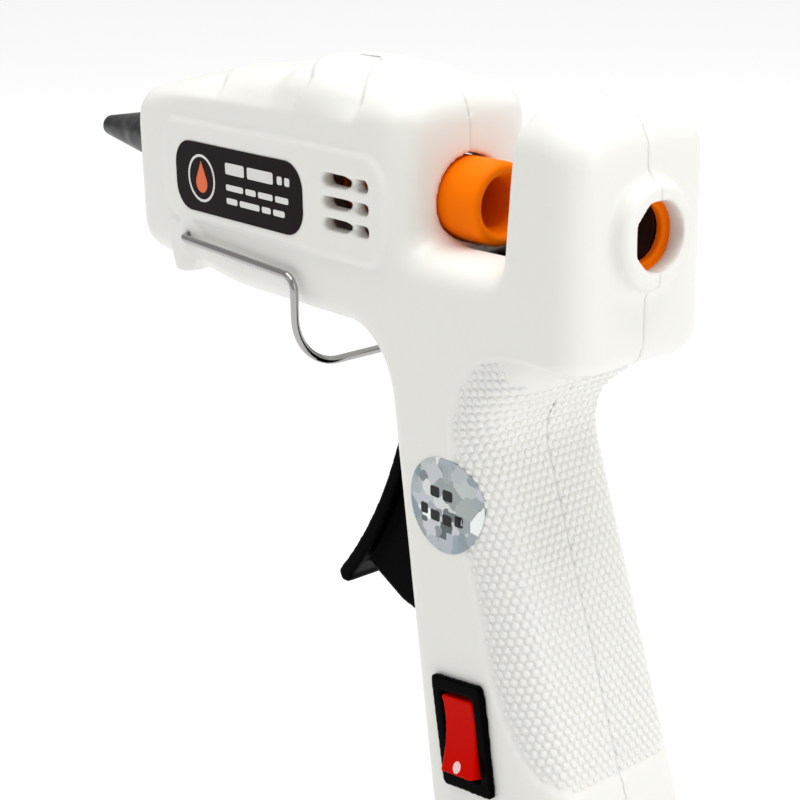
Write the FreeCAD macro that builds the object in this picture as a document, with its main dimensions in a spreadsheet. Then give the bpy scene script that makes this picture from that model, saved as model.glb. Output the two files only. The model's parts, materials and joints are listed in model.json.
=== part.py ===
import FreeCAD, Part
import math
import os
import Sketcher
from FreeCAD import Vector

# A small hot-glue gun for 7 mm sticks.  Millimetres, +Z up.  The stick and nozzle axis is the X axis:
# the origin is the centre of the rear stick hole's mouth and the nozzle points along -X.  The housing
# is split on the plane Y = 0; -Y is the side with the label, the vents and the switch.

DIMS = {
    # housing
    "wall": 2.0, "half_nose": 11.2, "half_rear": 13.0, "edge_round": 4.5, "edge_depth": 5.0,
    "nose_x": 101.4, "block_rear_x": 2.2, "panel_rise": 0.6, "panel_round": 4.2,
    "vent_height": 1.7, "vent_pitch": 3.04, "label_depth": 0.2, "label_thick": 0.25,
    "nozzle_hole": 5.5, "sleeve_hole": 6.05, "carriage_hole": 6.0, "stick_hole": 4.4,
    "ring_seat": 4.9,
    "boss_outer": 6.7, "boss_base": 8.0, "floor_slot_half": 3.5,
    # melt chamber and nozzle
    "nozzle_length": 125.8, "nozzle_tip": 1.7, "nozzle_mid": 3.45, "nozzle_base": 5.1, "outlet": 0.9,
    "nozzle_thread": 3.4, "chamber_radius": 6.0, "chamber_bore": 3.8, "chamber_neck": 4.6,
    "sleeve_radius": 5.7, "sleeve_bore": 3.4, "heater_length": 26.0, "heater_width": 6.6,
    # feed
    "trigger_x": -34.0, "trigger_z": -21.0, "trigger_angle": 24.0, "arm_length": 11.5,
    "drive_pin": 1.0, "pivot_pin": 1.5, "running_gap": 0.05, "blade_half": 6.0, "web_half": 4.0,
    "carriage_ring": 5.6, "carriage_bore": 3.8, "jaw_pin": 0.8, "jaw_half": 1.3, "spring_wire": 0.25,
    "spring_radius": 1.6, "spring_x": -22.9, "spring_foot_z": -41.0,
    # stand
    "wire_radius": 0.6, "stand_x": -85.0, "stand_z": -11.3, "stand_half": 13.2, "stand_foot_x": -56.5,
    "stand_foot_z": -26.2,
    # switch
    "switch_x": -21.6, "switch_z": -71.0, "switch_tilt": 9.0, "bezel_width": 10.2, "bezel_length": 16.2,
    "bezel_rise": 0.9, "switch_body_width": 8.8, "switch_body_length": 13.2, "switch_depth": 8.5,
    # fasteners and inlet
    "screw_radius": 1.15, "screw_head": 2.0, "screw_boss": 2.6, "inlet_bore": 3.0, "lead_radius": 0.7,
}

doc = FreeCAD.newDocument("glue_gun")
sheet = doc.addObject("Spreadsheet::Sheet", "dims")
for row, (alias, value) in enumerate(DIMS.items(), start=1):
    sheet.set("A%d" % row, alias)
    sheet.set("B%d" % row, str(value))
    sheet.setAlias("B%d" % row, alias)
doc.recompute()

EXPORTS = []
LEFT, RIGHT = 1, -1
UP, ALONG_X, ALONG_Y = Vector(0, 0, 1), Vector(1, 0, 0), Vector(0, 1, 0)
SCREWS = [(-95.8, -10.0), (-70.0, 9.0), (-7.8, 9.6), (-18.2, -57.0), (-23.5, -85.0)]


# ---- general helpers ---------------------------------------------------------------------------------

def put(obj, name):
    """Give a finished sub-part its label and list it for export."""
    obj.Label = name
    EXPORTS.append((name, obj))
    return obj


def new_body(name):
    return put(doc.addObject("PartDesign::Body", name), name)


def sketch_on(body, role, offset=None):
    """A sketch on one of the body's origin planes, moved along its normal by an expression."""
    sketch = body.newObject("Sketcher::SketchObject", "Sketch")
    plane = next(f for f in body.Origin.OriginFeatures if f.Role == role)
    sketch.AttachmentSupport = [(plane, "")]
    sketch.MapMode = "FlatFace"
    if offset is not None:
        sketch.setExpression(".AttachmentOffset.Base.z", str(offset))
    return sketch


def add_circle(sketch, cx, cy, radius):
    """A circle whose radius is an expression."""
    index = sketch.addGeometry(Part.Circle(Vector(cx, cy, 0), UP, 1.0), False)
    constraint = sketch.addConstraint(Sketcher.Constraint("Radius", index, 1.0))
    sketch.setExpression("Constraints[%d]" % constraint, radius)


def add_path(sketch, edges):
    for edge in edges:
        sketch.addGeometry(edge, False)


def polygon(points):
    """Line segments through the points and back to the first."""
    ring = [Vector(x, y, 0) for x, y in points]
    return [Part.LineSegment(a, b) for a, b in zip(ring, ring[1:] + ring[:1])]


def rectangle(x0, y0, x1, y1):
    return polygon([(x0, y0), (x1, y0), (x1, y1), (x0, y1)])


def rounded(corners, inset=0.0, spread=False):
    """Lines and arcs round a clockwise polygon of corners, moved inwards by inset.

    A corner is (x, y, radius) or (x, y, radius, factor). With spread, factor multiplies the inset of
    the edge that starts there.
    """
    count = len(corners)
    ends = [Vector(c[0], c[1], 0) for c in corners]
    moves = [inset * (c[3] if spread and len(c) > 3 else 1.0) for c in corners]
    way = [(ends[(i + 1) % count] - ends[i]).normalize() for i in range(count)]
    bends = []
    for i in range(count):
        before, after = way[i - 1], way[i]
        turn = before.x * after.y - before.y * after.x
        start = ends[i] + Vector(before.y, -before.x, 0) * moves[i - 1]
        across = ends[i] + Vector(after.y, -after.x, 0) * moves[i] - start
        corner = start + before * ((across.x * after.y - across.y * after.x) / turn)
        change = (moves[i - 1] + moves[i]) / 2
        radius = max(corners[i][2] + (change if turn > 0 else -change), 0.4)
        half_turn = before.getAngle(after) / 2
        to_centre = (after - before).normalize()
        middle = corner + to_centre * (radius / math.cos(half_turn) - radius)
        reach = radius * math.tan(half_turn)
        bends.append((corner - before * reach, middle, corner + after * reach))
    pieces = []
    for (first, middle, last), following in zip(bends, bends[1:] + bends[:1]):
        pieces.append(Part.Arc(first, middle, last))
        pieces.append(Part.LineSegment(last, following[0]))
    return pieces


def pad(body, sketch, length, flip=False, both=False):
    feature = body.newObject("PartDesign::Pad", "Pad")
    feature.Profile = sketch
    feature.setExpression("Length", str(length))
    feature.Reversed = flip
    feature.Midplane = both
    feature.Refine = False
    doc.recompute()
    return feature


def pocket(body, sketch, length, flip=False, both=False):
    """A pocket that must remove material: one that misses the solid is an error."""
    before = body.Shape.Volume
    feature = body.newObject("PartDesign::Pocket", "Pocket")
    feature.Profile = sketch
    feature.setExpression("Length", str(length))
    feature.Reversed = flip
    feature.Midplane = both
    feature.Refine = False
    doc.recompute()
    if body.Shape.Volume > before - 1e-3:
        raise RuntimeError("a pocket of %s cuts nothing" % body.Label)
    return feature


def revolve(body, sketch, angle=360.0, flip=False, kind="PartDesign::Revolution"):
    """Turn a profile about the sketch's own horizontal axis."""
    feature = body.newObject(kind, "Revolution")
    feature.Profile = sketch
    feature.ReferenceAxis = (sketch, ["H_Axis"])
    feature.Angle = angle
    feature.Reversed = flip
    feature.Refine = False
    doc.recompute()
    return feature


def revolved_body(name, profile):
    """A body turned about the X axis from its (x, radius) outline."""
    body = new_body(name)
    sketch = sketch_on(body, "XZ_Plane")
    add_path(sketch, polygon(profile))
    revolve(body, sketch)
    return body


def box(name, x0, x1, y0, y1, z0, z1):
    solid = doc.addObject("Part::Box", name)
    solid.Length, solid.Width, solid.Height = x1 - x0, y1 - y0, z1 - z0
    solid.Placement.Base = Vector(x0, y0, z0)
    return solid


def rod(name, radius, length, base, axis=ALONG_Y):
    """A cylinder whose radius is an expression, from base along axis."""
    solid = doc.addObject("Part::Cylinder", name)
    solid.setExpression("Radius", radius)
    solid.Height = length
    solid.Placement = FreeCAD.Placement(base, FreeCAD.Rotation(UP, axis))
    return solid


def cut(name, base, tool):
    result = doc.addObject("Part::Cut", name)
    result.Base, result.Tool = base, tool
    return result


def group(name, members):
    """Separate solids kept together in one sub-part."""
    result = doc.addObject("Part::Compound", name)
    result.Links = members
    return put(result, name)


def bent_path(points, radii):
    """A wire of straight runs joined by tangent arcs, one radius for each inner point."""
    edges = []
    start = points[0]
    for before, corner, after, radius in zip(points, points[1:], points[2:], radii):
        into, out = (corner - before).normalize(), (after - corner).normalize()
        half_turn = into.getAngle(out) / 2
        reach = radius * math.tan(half_turn)
        inward = (out - into).normalize()
        centre = corner + inward * (radius / math.cos(half_turn))
        first, last = corner - into * reach, corner + out * reach
        if (first - start).Length > 1e-6:
            edges.append(Part.LineSegment(start, first).toShape())
        edges.append(Part.Arc(first, centre - inward * radius, last).toShape())
        start = last
    edges.append(Part.LineSegment(start, points[-1]).toShape())
    return Part.Wire(edges)


def bent_rod(name, radius, points, radii):
    """A round rod swept along a bent path."""
    path = doc.addObject("Part::Feature", name + "_path")
    path.Shape = bent_path(points, radii)
    section = doc.addObject("Part::Circle", name + "_section")
    section.setExpression("Radius", radius)
    section.Placement = FreeCAD.Placement(points[0], FreeCAD.Rotation(UP, points[1] - points[0]))
    sweep = doc.addObject("Part::Sweep", name)
    sweep.Sections = [section]
    sweep.Spine = (path, ["Edge%d" % (i + 1) for i in range(len(path.Shape.Edges))])
    sweep.Solid = True
    sweep.Frenet = False
    return sweep


# ---- housing -----------------------------------------------------------------------------------------

# Side outline, clockwise from the bottom of the nose: (x, z, corner radius, and how much wider than
# elsewhere the edge that starts there is rounded).
NOSE_X = -DIMS["nose_x"]
BLOCK_X = -DIMS["block_rear_x"]
OUTLINE = [
    (NOSE_X, -16.4, 5.6), (NOSE_X, 9.4, 5.6),               # nose
    (-84.5, 13.7, 60.0), (-64.2, 15.9, 2.2),                # rising crest
    (-60.6, 17.5, 3.0), (-53.0, 17.8, 20.0),                # low hump
    (-46.0, 17.0, 5.0), (-42.6, 15.3, 3.0),                 # hump runs down to a shelf
    (-33.9, 15.4, 4.9),                                     # top of the saddle wall
    (-33.4, -5.3, 2.6), (-15.6, -5.2, 2.2, 0.3),            # saddle gap
    (-13.6, 17.0, 3.4), (BLOCK_X, 14.8, 6.2),               # rear block, top
    (BLOCK_X, -17.4, 5.0), (-9.0, -18.4, 6.0),              # rear block, bottom
    (-19.8, -26.9, 7.0, 1.7), (-1.9, -82.0, 14.0, 1.4),     # back of the handle
    (-4.2, -92.0, 5.0), (-30.7, -92.0, 5.0),                # base
    (-40.1, -18.4, 9.0), (-76.0, -18.4, 30.0),              # trigger side and belly
    (-89.0, -16.4, 30.0),
]


SIDE_SLOPE = (DIMS["half_rear"] - DIMS["half_nose"]) / (BLOCK_X - NOSE_X)


def side_half_width(x):
    """Half width of the housing, which widens evenly from the nose to the rear."""
    return DIMS["half_rear"] + (x - BLOCK_X) * SIDE_SLOPE


def side_sketch(body, side, rise):
    """A sketch parallel to the slanting side face, rise outside it."""
    sketch = sketch_on(body, "XZ_Plane")
    turn = FreeCAD.Rotation(Vector(0, 1, 0), -side * math.degrees(math.atan(SIDE_SLOPE)))
    base = Vector(0, 0, side * (side_half_width(0) + rise))
    sketch.AttachmentOffset = FreeCAD.Placement(base, turn)
    return sketch


def loft(body, kind, sketches):
    feature = body.newObject(kind, "Loft")
    feature.Profile = sketches[0]
    feature.Sections = sketches[1:]
    feature.Ruled = True
    feature.Refine = False
    doc.recompute()


def shell_blank(name, side):
    """One half of the hollow housing, lofted from the parting plane out to the rounded side."""
    body = new_body(name)
    outer = [sketch_on(body, "XZ_Plane")]
    add_path(outer[0], rounded(OUTLINE))
    steps = 4
    for step in range(steps + 1):
        angle = math.pi / 2 * step / steps
        outer.append(side_sketch(body, side, (math.sin(angle) - 1) * DIMS["edge_depth"]))
        add_path(outer[-1], rounded(OUTLINE, (1 - math.cos(angle)) * DIMS["edge_round"], True))
    loft(body, "PartDesign::AdditiveLoft", outer)

    wall = DIMS["wall"]
    inner = [sketch_on(body, "XZ_Plane"), side_sketch(body, side, -4.2), side_sketch(body, side, -wall)]
    for sketch, inset in zip(inner, (wall, wall, wall + 1.6)):
        add_path(sketch, rounded(OUTLINE, inset))
    loft(body, "PartDesign::SubtractiveLoft", inner)
    return body


def side_cut(body, side, edges, depth, start=None):
    """A cut from a plane beside the parting plane outwards, start to start + depth."""
    offset = None if start is None else side * start
    sketch = sketch_on(body, "XZ_Plane", offset)
    add_path(sketch, edges)
    pocket(body, sketch, depth, side == LEFT)


def side_holes(body, side, places, radius, depth, start=None):
    """Round holes along Y at the given (x, z) places."""
    offset = None if start is None else side * start
    sketch = sketch_on(body, "XZ_Plane", offset)
    for x, z in places:
        add_circle(sketch, x, z, radius)
    pocket(body, sketch, depth, side == LEFT)


def side_bosses(body, side, places, radius, start, end):
    """Round bosses on the inside of the wall, from start out to end, measured from Y = 0."""
    sketch = sketch_on(body, "XZ_Plane", side * start)
    for x, z in places:
        add_circle(sketch, x, z, radius)
    pad(body, sketch, end - start, side == RIGHT)


def raised_panel(body, side):
    """The long rounded panel that carries the label and the vents."""
    sketch = side_sketch(body, side, -1.2)
    corner = DIMS["panel_round"]
    add_path(sketch, rounded([(-91.0, -8.2, corner), (-91.0, 6.3, corner),
                              (-37.0, 6.3, corner), (-37.0, -8.2, corner)]))
    pad(body, sketch, "dims.panel_rise + 1.2", side == RIGHT)


def vents(body, side):
    """Three round-ended slots in the panel, one above the other, each crossed by a sunken bar."""
    height = DIMS["vent_height"]
    end = height / 2 - 0.01
    grooves, slots = [], []
    for row in (-1, 0, 1):
        z = -0.86 + row * DIMS["vent_pitch"]
        grooves += rounded([(-50.3, z - height / 2, end), (-50.3, z + height / 2, end),
                            (-39.9, z + height / 2, end), (-39.9, z - height / 2, end)])
        for x0, x1 in ((-50.3, -44.5), (-43.2, -39.9)):
            slots += rounded([(x0, z - height / 2, end / 2), (x0, z + height / 2, end / 2),
                              (x1, z + height / 2, end / 2), (x1, z - height / 2, end / 2)])
    sunken = side_sketch(body, side, DIMS["panel_rise"] - 0.9)
    add_path(sunken, grooves)
    pocket(body, sunken, 3.0, side == LEFT)
    side_cut(body, side, slots, 6.0, 8.0)


def stand_lug(body, side):
    """Ear that thickens the side round the stand's pivot and reaches below the belly."""
    sketch = side_sketch(body, side, -2.6)
    add_path(sketch, rounded([(-90.9, -13.0, 0.8), (-90.0, -9.0, 0.8), (-82.0, -9.6, 0.8),
                              (-81.2, -13.0, 0.8), (-84.6, -17.0, 1.2), (-88.8, -17.4, 1.0)]))
    pad(body, sketch, 2.95, side == RIGHT)


def inner_ribs(body, side):
    """Cross walls that hold the melt chamber, and ledges that carry the feed carriage."""
    for x, low, out in ((-95.0, -14.9, 9.9), (-58.4, -8.0, 10.6)):
        sketch = sketch_on(body, "YZ_Plane", x)
        add_path(sketch, rectangle(0, low, -side * out, 8.9))
        pad(body, sketch, 1.4)
    sketch = sketch_on(body, "XZ_Plane", side * 1.0)
    add_path(sketch, rectangle(-27.0, -13.8, -16.0, -12.5))
    pad(body, sketch, 10.4, side == RIGHT)


def axis_holes(body, side):
    """Everything that is open along the stick axis, as one stepped groove."""
    chamber, gap = DIMS["chamber_radius"] + 0.1, DIMS["sleeve_radius"] + 0.05
    profile = [(NOSE_X - 1, 0), (NOSE_X - 1, DIMS["nozzle_hole"]), (-100.8, DIMS["nozzle_hole"]),
               (-100.8, chamber), (-53.0, chamber), (-53.0, DIMS["sleeve_hole"]),
               (-31.5, DIMS["sleeve_hole"]), (-31.5, gap), (-16.5, gap),
               (-16.5, DIMS["carriage_hole"]), (-10.0, DIMS["carriage_hole"]),
               (-10.0, 4.6), (-4.2, 4.6), (-4.2, DIMS["ring_seat"]), (-2.4, DIMS["ring_seat"]),
               (-2.4, DIMS["stick_hole"]), (0.5, DIMS["stick_hole"]), (0.5, 0)]
    sketch = sketch_on(body, "XZ_Plane")
    add_path(sketch, polygon(profile))
    before = body.Shape.Volume
    revolve(body, sketch, 180.0, side == RIGHT, "PartDesign::Groove")
    if body.Shape.Volume > before - 100:
        raise RuntimeError("the stick axis of %s is not open" % body.Label)


def stick_boss(body, side):
    """The flared collar round the rear stick hole."""
    sketch = sketch_on(body, "XZ_Plane")
    profile = [(BLOCK_X - 1.0, 4.0), (0.0, 4.0), (0.0, DIMS["boss_outer"] - 0.6),
               (-0.6, DIMS["boss_outer"]), (BLOCK_X + 0.5, DIMS["boss_outer"] + 0.3),
               (BLOCK_X, DIMS["boss_base"]), (BLOCK_X - 1.0, DIMS["boss_base"])]
    add_path(sketch, polygon(profile))
    revolve(body, sketch, 180.0, side == RIGHT)


def handle_openings(body, side):
    """Slot for the trigger in the handle's front, and the seat of the cord inlet bush in its base."""
    slot = [(-50.0, -65.0), (-50.0, -22.2), (-36.4, -22.2), (-31.5, -33.0), (-28.5, -65.0)]
    side_cut(body, side, polygon(slot), "dims.blade_half + 0.35")
    seat = sketch_on(body, "XY_Plane", -93.0)
    add_circle(seat, -17.5, 0, "dims.inlet_bore + 1.5")
    pocket(body, seat, 4.0, True)


def finish_shell(body, side):
    pivot = (DIMS["trigger_x"], DIMS["trigger_z"])
    stand = (DIMS["stand_x"], DIMS["stand_z"])
    raised_panel(body, side)
    stand_lug(body, side)
    stick_boss(body, side)
    inner_ribs(body, side)
    side_bosses(body, side, SCREWS[:2], "dims.screw_boss", 0.0, 9.8)
    side_bosses(body, side, SCREWS[2:], "dims.screw_boss", 0.0, 10.9)
    side_bosses(body, side, [pivot], "dims.pivot_pin + 1.3", 5.2, 11.0)
    side_bosses(body, side, [stand], "dims.wire_radius + 2.2", 8.2, 12.1)
    side_holes(body, side, SCREWS, "dims.screw_radius", 8.0)
    side_holes(body, side, [pivot], "dims.pivot_pin", 8.2)
    side_holes(body, side, [stand], "dims.wire_radius + 0.08", 8.2, 5.0)
    axis_holes(body, side)
    side_cut(body, side, rectangle(-30.8, -9.0, -11.0, -3.0), "dims.floor_slot_half")
    vents(body, side)
    handle_openings(body, side)


def left_shell():
    body = shell_blank("left_shell", LEFT)
    finish_shell(body, LEFT)
    side_bosses(body, LEFT, [(DIMS["spring_x"] + 1.0, DIMS["spring_foot_z"] - 0.95)], "0.9", 0.0, 11.4)
    label = side_sketch(body, LEFT, DIMS["panel_rise"] - DIMS["label_depth"])
    corner = 4.0
    add_path(label, rounded([(-87.0, -7.0, corner), (-87.0, 3.7, corner),
                             (-54.5, 3.7, corner), (-54.5, -7.0, corner)]))
    pocket(body, label, 2.0, True)
    side_cut(body, LEFT, switch_rectangle("switch_body_width", "switch_body_length", 0.15), 8.0, 8.0)


def right_shell():
    body = shell_blank("right_shell", RIGHT)
    finish_shell(body, RIGHT)
    side_holes(body, RIGHT, SCREWS, "dims.screw_radius + 0.15", 16.0)
    side_holes(body, RIGHT, SCREWS, "dims.screw_head + 0.2", 6.0, DIMS["half_nose"] - 1.8)


# ---- heater and nozzle -------------------------------------------------------------------------------

def nozzle():
    base, mid, tip = DIMS["nozzle_base"], DIMS["nozzle_mid"], DIMS["nozzle_tip"]
    end = -DIMS["nozzle_length"]
    outlet = DIMS["outlet"]
    thread = DIMS["nozzle_thread"]
    revolved_body("nozzle", [
        (end, outlet), (end, tip - 0.5), (end + 0.5, tip), (-114.0, mid), (-102.6, base), (-100.5, base),
        (-100.5, thread), (-93.5, thread), (-93.5, 2.2), (-112.0, 2.0), (-118.0, outlet)])


def melt_chamber():
    """Aluminium barrel with the heater's flat channel under it."""
    radius, bore, neck = DIMS["chamber_radius"], DIMS["chamber_bore"], DIMS["chamber_neck"]
    thread = DIMS["nozzle_thread"]
    body = revolved_body("melt_chamber", [
        (-100.4, thread), (-100.4, radius), (-54.5, radius), (-54.5, neck), (-48.5, neck), (-48.5, bore),
        (-91.0, bore), (-92.5, 2.2), (-93.5, 2.2), (-93.5, thread)])
    block = sketch_on(body, "YZ_Plane", -91.0)
    add_path(block, rectangle(-5.2, -12.6, 5.2, -4.9))
    pad(body, block, "dims.heater_length + 3")
    channel = sketch_on(body, "YZ_Plane", -92.0)
    half = DIMS["heater_width"] / 2 + 0.4
    add_path(channel, rectangle(-half, -11.4, half, -7.6))
    pocket(body, channel, "dims.heater_length + 5", True)


def heater():
    """Ceramic element in its insulating sleeve, with a pressing strip under it."""
    half = DIMS["heater_width"] / 2
    start = -89.5
    end = start + DIMS["heater_length"]
    put(box("heater_element", start + 1, end - 1, -half, half, -9.9, -8.2), "heater_element")
    outer = box("insulator_outer", start, end, -half - 0.3, half + 0.3, -10.2, -7.9)
    inner = box("insulator_inner", start - 1, end + 1, -half, half, -9.9, -8.2)
    put(cut("heater_insulator", outer, inner), "heater_insulator")
    strip = new_body("heater_press_strip")
    sketch = sketch_on(strip, "XZ_Plane")
    add_path(sketch, polygon([(start, -11.35), (start, -10.9), (start + 3, -10.9), (start + 5, -10.25),
                              (end - 5, -10.25), (end - 3, -10.9), (end, -10.9), (end, -11.35)]))
    pad(strip, sketch, "dims.heater_width", both=True)


def inlet_sleeve():
    """Soft sleeve that leads the stick into the hot chamber."""
    radius, bore = DIMS["sleeve_radius"], DIMS["sleeve_bore"]
    neck = DIMS["chamber_neck"]
    revolved_body("inlet_sleeve", [
        (-54.3, neck), (-54.3, radius), (-28.0, radius), (-27.2, radius - 0.3), (-27.0, radius - 0.9),
        (-27.0, bore + 1.0), (-27.6, bore + 0.5), (-29.6, bore), (-47.5, bore), (-48.3, neck)])
    ring = doc.addObject("Part::Torus", "sleeve_clamp")
    ring.setExpression("Radius1", "dims.sleeve_radius + 0.45")
    ring.Radius2 = 0.45
    ring.Placement = FreeCAD.Placement(Vector(-51.5, 0, 0), FreeCAD.Rotation(UP, ALONG_X))
    put(ring, "sleeve_clamp")


def heat_rings():
    """Two insulating washers that keep the hot chamber off the plastic."""
    for name, x in (("front_heat_ring", -93.4), ("rear_heat_ring", -60.4)):
        radius = DIMS["chamber_radius"]
        revolved_body(name, [(x, radius), (x, 8.2), (x + 1.8, 8.2), (x + 1.8, radius)])


def stick_guide_ring():
    radius = DIMS["ring_seat"]
    revolved_body("stick_guide_ring", [
        (-4.2, 3.7), (-4.2, radius), (-2.4, radius), (-2.4, 4.3), (-3.1, 4.2), (-3.1, 3.7)])


# ---- feed mechanism ----------------------------------------------------------------------------------

def drive_pin_place():
    """Centre of the trigger's drive pin at rest: half the stroke behind the upright."""
    lean = math.radians(DIMS["trigger_angle"] / 2)
    return (DIMS["trigger_x"] + DIMS["arm_length"] * math.sin(lean),
            DIMS["trigger_z"] + DIMS["arm_length"] * math.cos(lean))


def feed_carriage():
    """Sliding bar with a slot for the drive pin, and a ring round the stick at its rear."""
    pin_x, pin_z = drive_pin_place()
    body = new_body("feed_carriage")
    bar = sketch_on(body, "XZ_Plane")
    add_path(bar, polygon([(-34.6, -12.2), (-34.6, -7.7), (-28.6, -7.7), (-27.4, -9.7), (-8.8, -9.7),
                           (-8.8, -3.6), (-4.6, -3.6), (-4.6, -12.2)]))
    pad(body, bar, 6.4, both=True)
    ring = sketch_on(body, "YZ_Plane", -8.8)
    add_circle(ring, 0, 0, "dims.carriage_ring")
    pad(body, ring, 4.2)
    bore = sketch_on(body, "YZ_Plane", -9.5)
    add_circle(bore, 0, 0, "dims.carriage_bore")
    pocket(body, bore, 6.0, True)
    jaw_slot = sketch_on(body, "XZ_Plane")
    add_path(jaw_slot, rectangle(-9.5, -9.6, -3.5, -3.0))
    pocket(body, jaw_slot, "2 * dims.jaw_half + 0.6", both=True)
    jaw_hole = sketch_on(body, "XZ_Plane")
    add_circle(jaw_hole, -6.6, -8.0, "dims.jaw_pin")
    pocket(body, jaw_hole, 20, both=True)
    pin_slot = sketch_on(body, "XZ_Plane")
    half = DIMS["drive_pin"] + 0.12
    add_path(pin_slot, rectangle(pin_x - half, pin_z - 1.6, pin_x + half, pin_z + 1.5))
    pocket(body, pin_slot, 20, both=True)


def grip_jaw():
    """Toothed lever that rises into the stick as the carriage goes forward."""
    body = new_body("grip_jaw")
    shape = sketch_on(body, "XZ_Plane")
    add_path(shape, polygon([(-5.2, -9.1), (-8.0, -9.2), (-10.6, -6.4), (-12.2, -4.1), (-11.5, -3.95),
                             (-10.9, -4.6), (-10.3, -4.0), (-9.6, -4.7), (-7.4, -6.4), (-5.2, -6.8)]))
    pad(body, shape, "2 * dims.jaw_half", both=True)
    hole = sketch_on(body, "XZ_Plane")
    add_circle(hole, -6.6, -8.0, "dims.jaw_pin + dims.running_gap")
    pocket(body, hole, 10, both=True)
    put(rod("jaw_pin", "dims.jaw_pin", 6.4, Vector(-6.6, -3.2, -8.0)), "jaw_pin")


def trigger():
    """Finger blade on a narrower web, with a hub, a forked drive arm and a spring lug."""
    px, pz = DIMS["trigger_x"], DIMS["trigger_z"]
    pin_x, pin_z = drive_pin_place()
    body = new_body("trigger")

    web = sketch_on(body, "XZ_Plane")
    web_edges = polygon([(px - 3.6, pz - 1.0), (px + 3.0, pz - 1.0), (px + 2.6, pz - 5.0),
                         (-39.2, -62.6), (-45.0, -61.3), (-50.2, -58.7), (-52.8, -57.0), (-47.6, -47.6),
                         (-43.4, -38.0), (-40.0, -28.6)])
    add_path(web, web_edges)
    pad(body, web, "2 * dims.web_half", both=True)

    hub = sketch_on(body, "XZ_Plane")
    add_circle(hub, px, pz, "4.2")
    pad(body, hub, 9.6, both=True)

    blade = sketch_on(body, "XZ_Plane")
    top_front, top_back = Vector(-40.8, -28.2, 0), Vector(-38.6, -28.2, 0)
    tip_front, tip_back = Vector(-57.4, -59.6, 0), Vector(-54.6, -60.0, 0)
    add_path(blade, [Part.Arc(top_front, Vector(-47.1, -44.8, 0), tip_front),
                     Part.Arc(tip_front, Vector(-56.5, -61.3, 0), tip_back),
                     Part.Arc(tip_back, Vector(-46.6, -48.6, 0), top_back),
                     Part.LineSegment(top_back, top_front)])
    pad(body, blade, "2 * dims.blade_half", both=True)

    arm = sketch_on(body, "XZ_Plane")
    add_path(arm, rounded([(px - 2.6, pz, 0.5), (pin_x - 2.0, pin_z + 2.0, 1.9),
                           (pin_x + 2.0, pin_z + 2.0, 1.9), (px + 3.4, pz, 0.5)]))
    pad(body, arm, 9.6, both=True)
    fork = sketch_on(body, "XZ_Plane")
    add_path(fork, rectangle(-50.0, -16.4, -20.0, -5.0))
    pocket(body, fork, 6.9, both=True)

    lug = sketch_on(body, "XZ_Plane")
    add_path(lug, rounded([(px, pz - 1.6, 0.4), (px, pz + 1.2, 0.4), (-21.0, pz + 1.2, 1.2),
                           (-21.0, pz - 1.6, 1.2)]))
    pad(body, lug, 3.0, both=True)

    pivot = sketch_on(body, "XZ_Plane")
    add_circle(pivot, px, pz, "dims.pivot_pin + dims.running_gap")
    pocket(body, pivot, 20, both=True)
    drive = sketch_on(body, "XZ_Plane")
    add_circle(drive, pin_x, pin_z, "dims.drive_pin")
    pocket(body, drive, 20, both=True)

    put(rod("trigger_pivot_pin", "dims.pivot_pin", 16.0, Vector(px, -8.0, pz)), "trigger_pivot_pin")
    put(rod("trigger_drive_pin", "dims.drive_pin", 9.6, Vector(pin_x, -4.8, pin_z)), "trigger_drive_pin")


def trigger_spring():
    """Tension spring: a close coil with a straight end at each side."""
    foot, head = DIMS["spring_foot_z"], DIMS["trigger_z"] - 1.75
    bottom, top, turns = foot + 1.2, head - 2.0, 13
    radius, x = DIMS["spring_radius"], DIMS["spring_x"]
    coil = doc.addObject("Part::Helix", "spring_coil")
    coil.Radius = radius
    coil.Pitch = (top - bottom) / turns
    coil.Height = top - bottom
    coil.Placement.Base = Vector(x, 0, bottom)
    section = doc.addObject("Part::Circle", "spring_section")
    section.setExpression("Radius", "dims.spring_wire")
    start = Vector(x + radius, 0, bottom)
    section.Placement = FreeCAD.Placement(start, FreeCAD.Rotation(UP, ALONG_Y))
    sweep = doc.addObject("Part::Sweep", "spring_turns")
    sweep.Sections = [section]
    sweep.Spine = (coil, ["Edge1"])
    sweep.Solid = True
    sweep.Frenet = True
    doc.recompute()
    ends = []
    for name, z0, z1 in (("spring_foot", foot, bottom + 0.3), ("spring_head", top - 0.3, head)):
        ends.append(rod(name, "dims.spring_wire", z1 - z0, Vector(x + radius, 0, z0), UP))
    whole = doc.addObject("Part::MultiFuse", "trigger_spring")
    whole.Shapes = [sweep] + ends
    put(whole, "trigger_spring")


# ---- stand -------------------------------------------------------------------------------------------

def stand_wire():
    """Bent wire that hinges in the housing's sides: two legs and a rounded foot."""
    x, z, half = DIMS["stand_x"], DIMS["stand_z"], DIMS["stand_half"]
    foot_x, foot_z = DIMS["stand_foot_x"], DIMS["stand_foot_z"]
    leg_end = z - 1.4
    left = [Vector(x, -8.7, z), Vector(x, -half, z), Vector(foot_x, -half, leg_end),
            Vector(foot_x, -half, foot_z)]
    right = [Vector(p.x, -p.y, p.z) for p in reversed(left)]
    bends = [1.5, 2.2, 7.6]
    put(bent_rod("stand_wire", "dims.wire_radius", left + right, bends + bends[::-1]), "stand_wire")


# ---- switch ------------------------------------------------------------------------------------------

def switch_frame():
    """Place of the switch: local x across, local y up its length, local z out of the left side."""
    tilt = math.radians(DIMS["switch_tilt"])
    outwards = Vector(-SIDE_SLOPE, -1, 0).normalize()
    along = outwards.cross(Vector(math.cos(tilt), 0, math.sin(tilt))).normalize()
    across = along.cross(outwards)
    base = Vector(DIMS["switch_x"], -side_half_width(DIMS["switch_x"]), DIMS["switch_z"])
    return FreeCAD.Placement(base, FreeCAD.Rotation(across, along, outwards, "ZXY"))


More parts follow.
